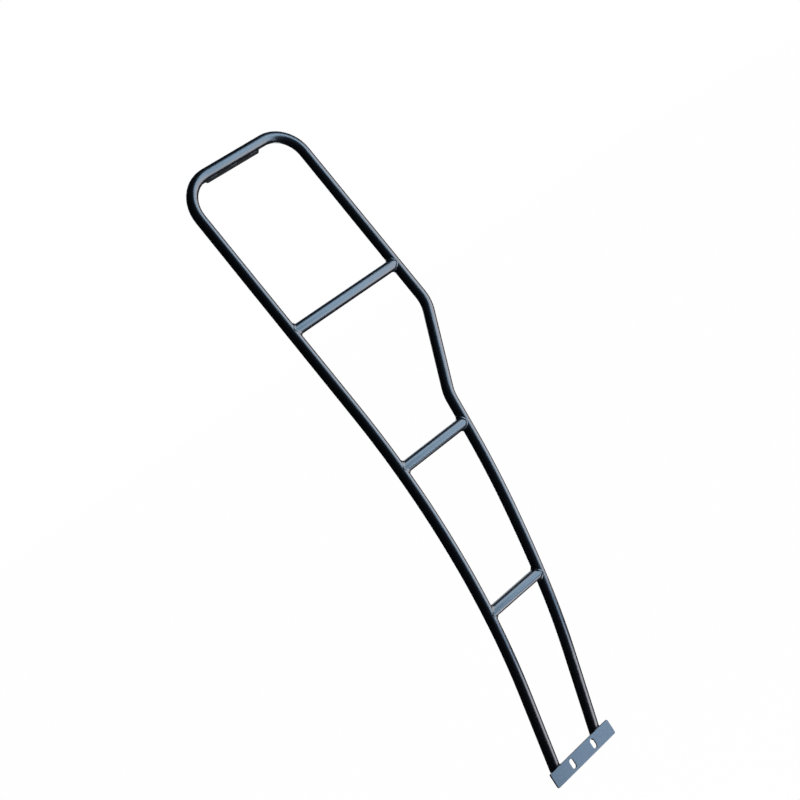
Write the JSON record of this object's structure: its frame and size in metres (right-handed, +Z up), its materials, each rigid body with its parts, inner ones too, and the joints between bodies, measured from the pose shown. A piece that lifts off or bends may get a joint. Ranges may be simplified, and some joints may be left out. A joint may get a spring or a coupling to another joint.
{
  "type": "tailgate ladder",
  "caption": "Bent black tube ladder for a vehicle tailgate, narrowing to a slotted foot plate, with a rubber-padded hook behind its top bar.",
  "frame": {"origin": "on the outer face of the foot plate, midway between its two slots", "axes": "+X to the right as seen from behind the vehicle, +Y forward to the tailgate, +Z up"},
  "size_m": [0.346, 0.1994, 1.4646],
  "materials": {
    "powder_coat": "satin black powder coat",
    "pad_rubber": "matte"
  },
  "bodies": {
    "root": {"hoop_tube": "powder_coat", "upper_rung": "powder_coat", "middle_rung": "powder_coat", "lower_rung": "powder_coat", "base_plate": "powder_coat", "hook_plate": "powder_coat", "hook_pad": "pad_rubber"}
  },
  "joints": []
}
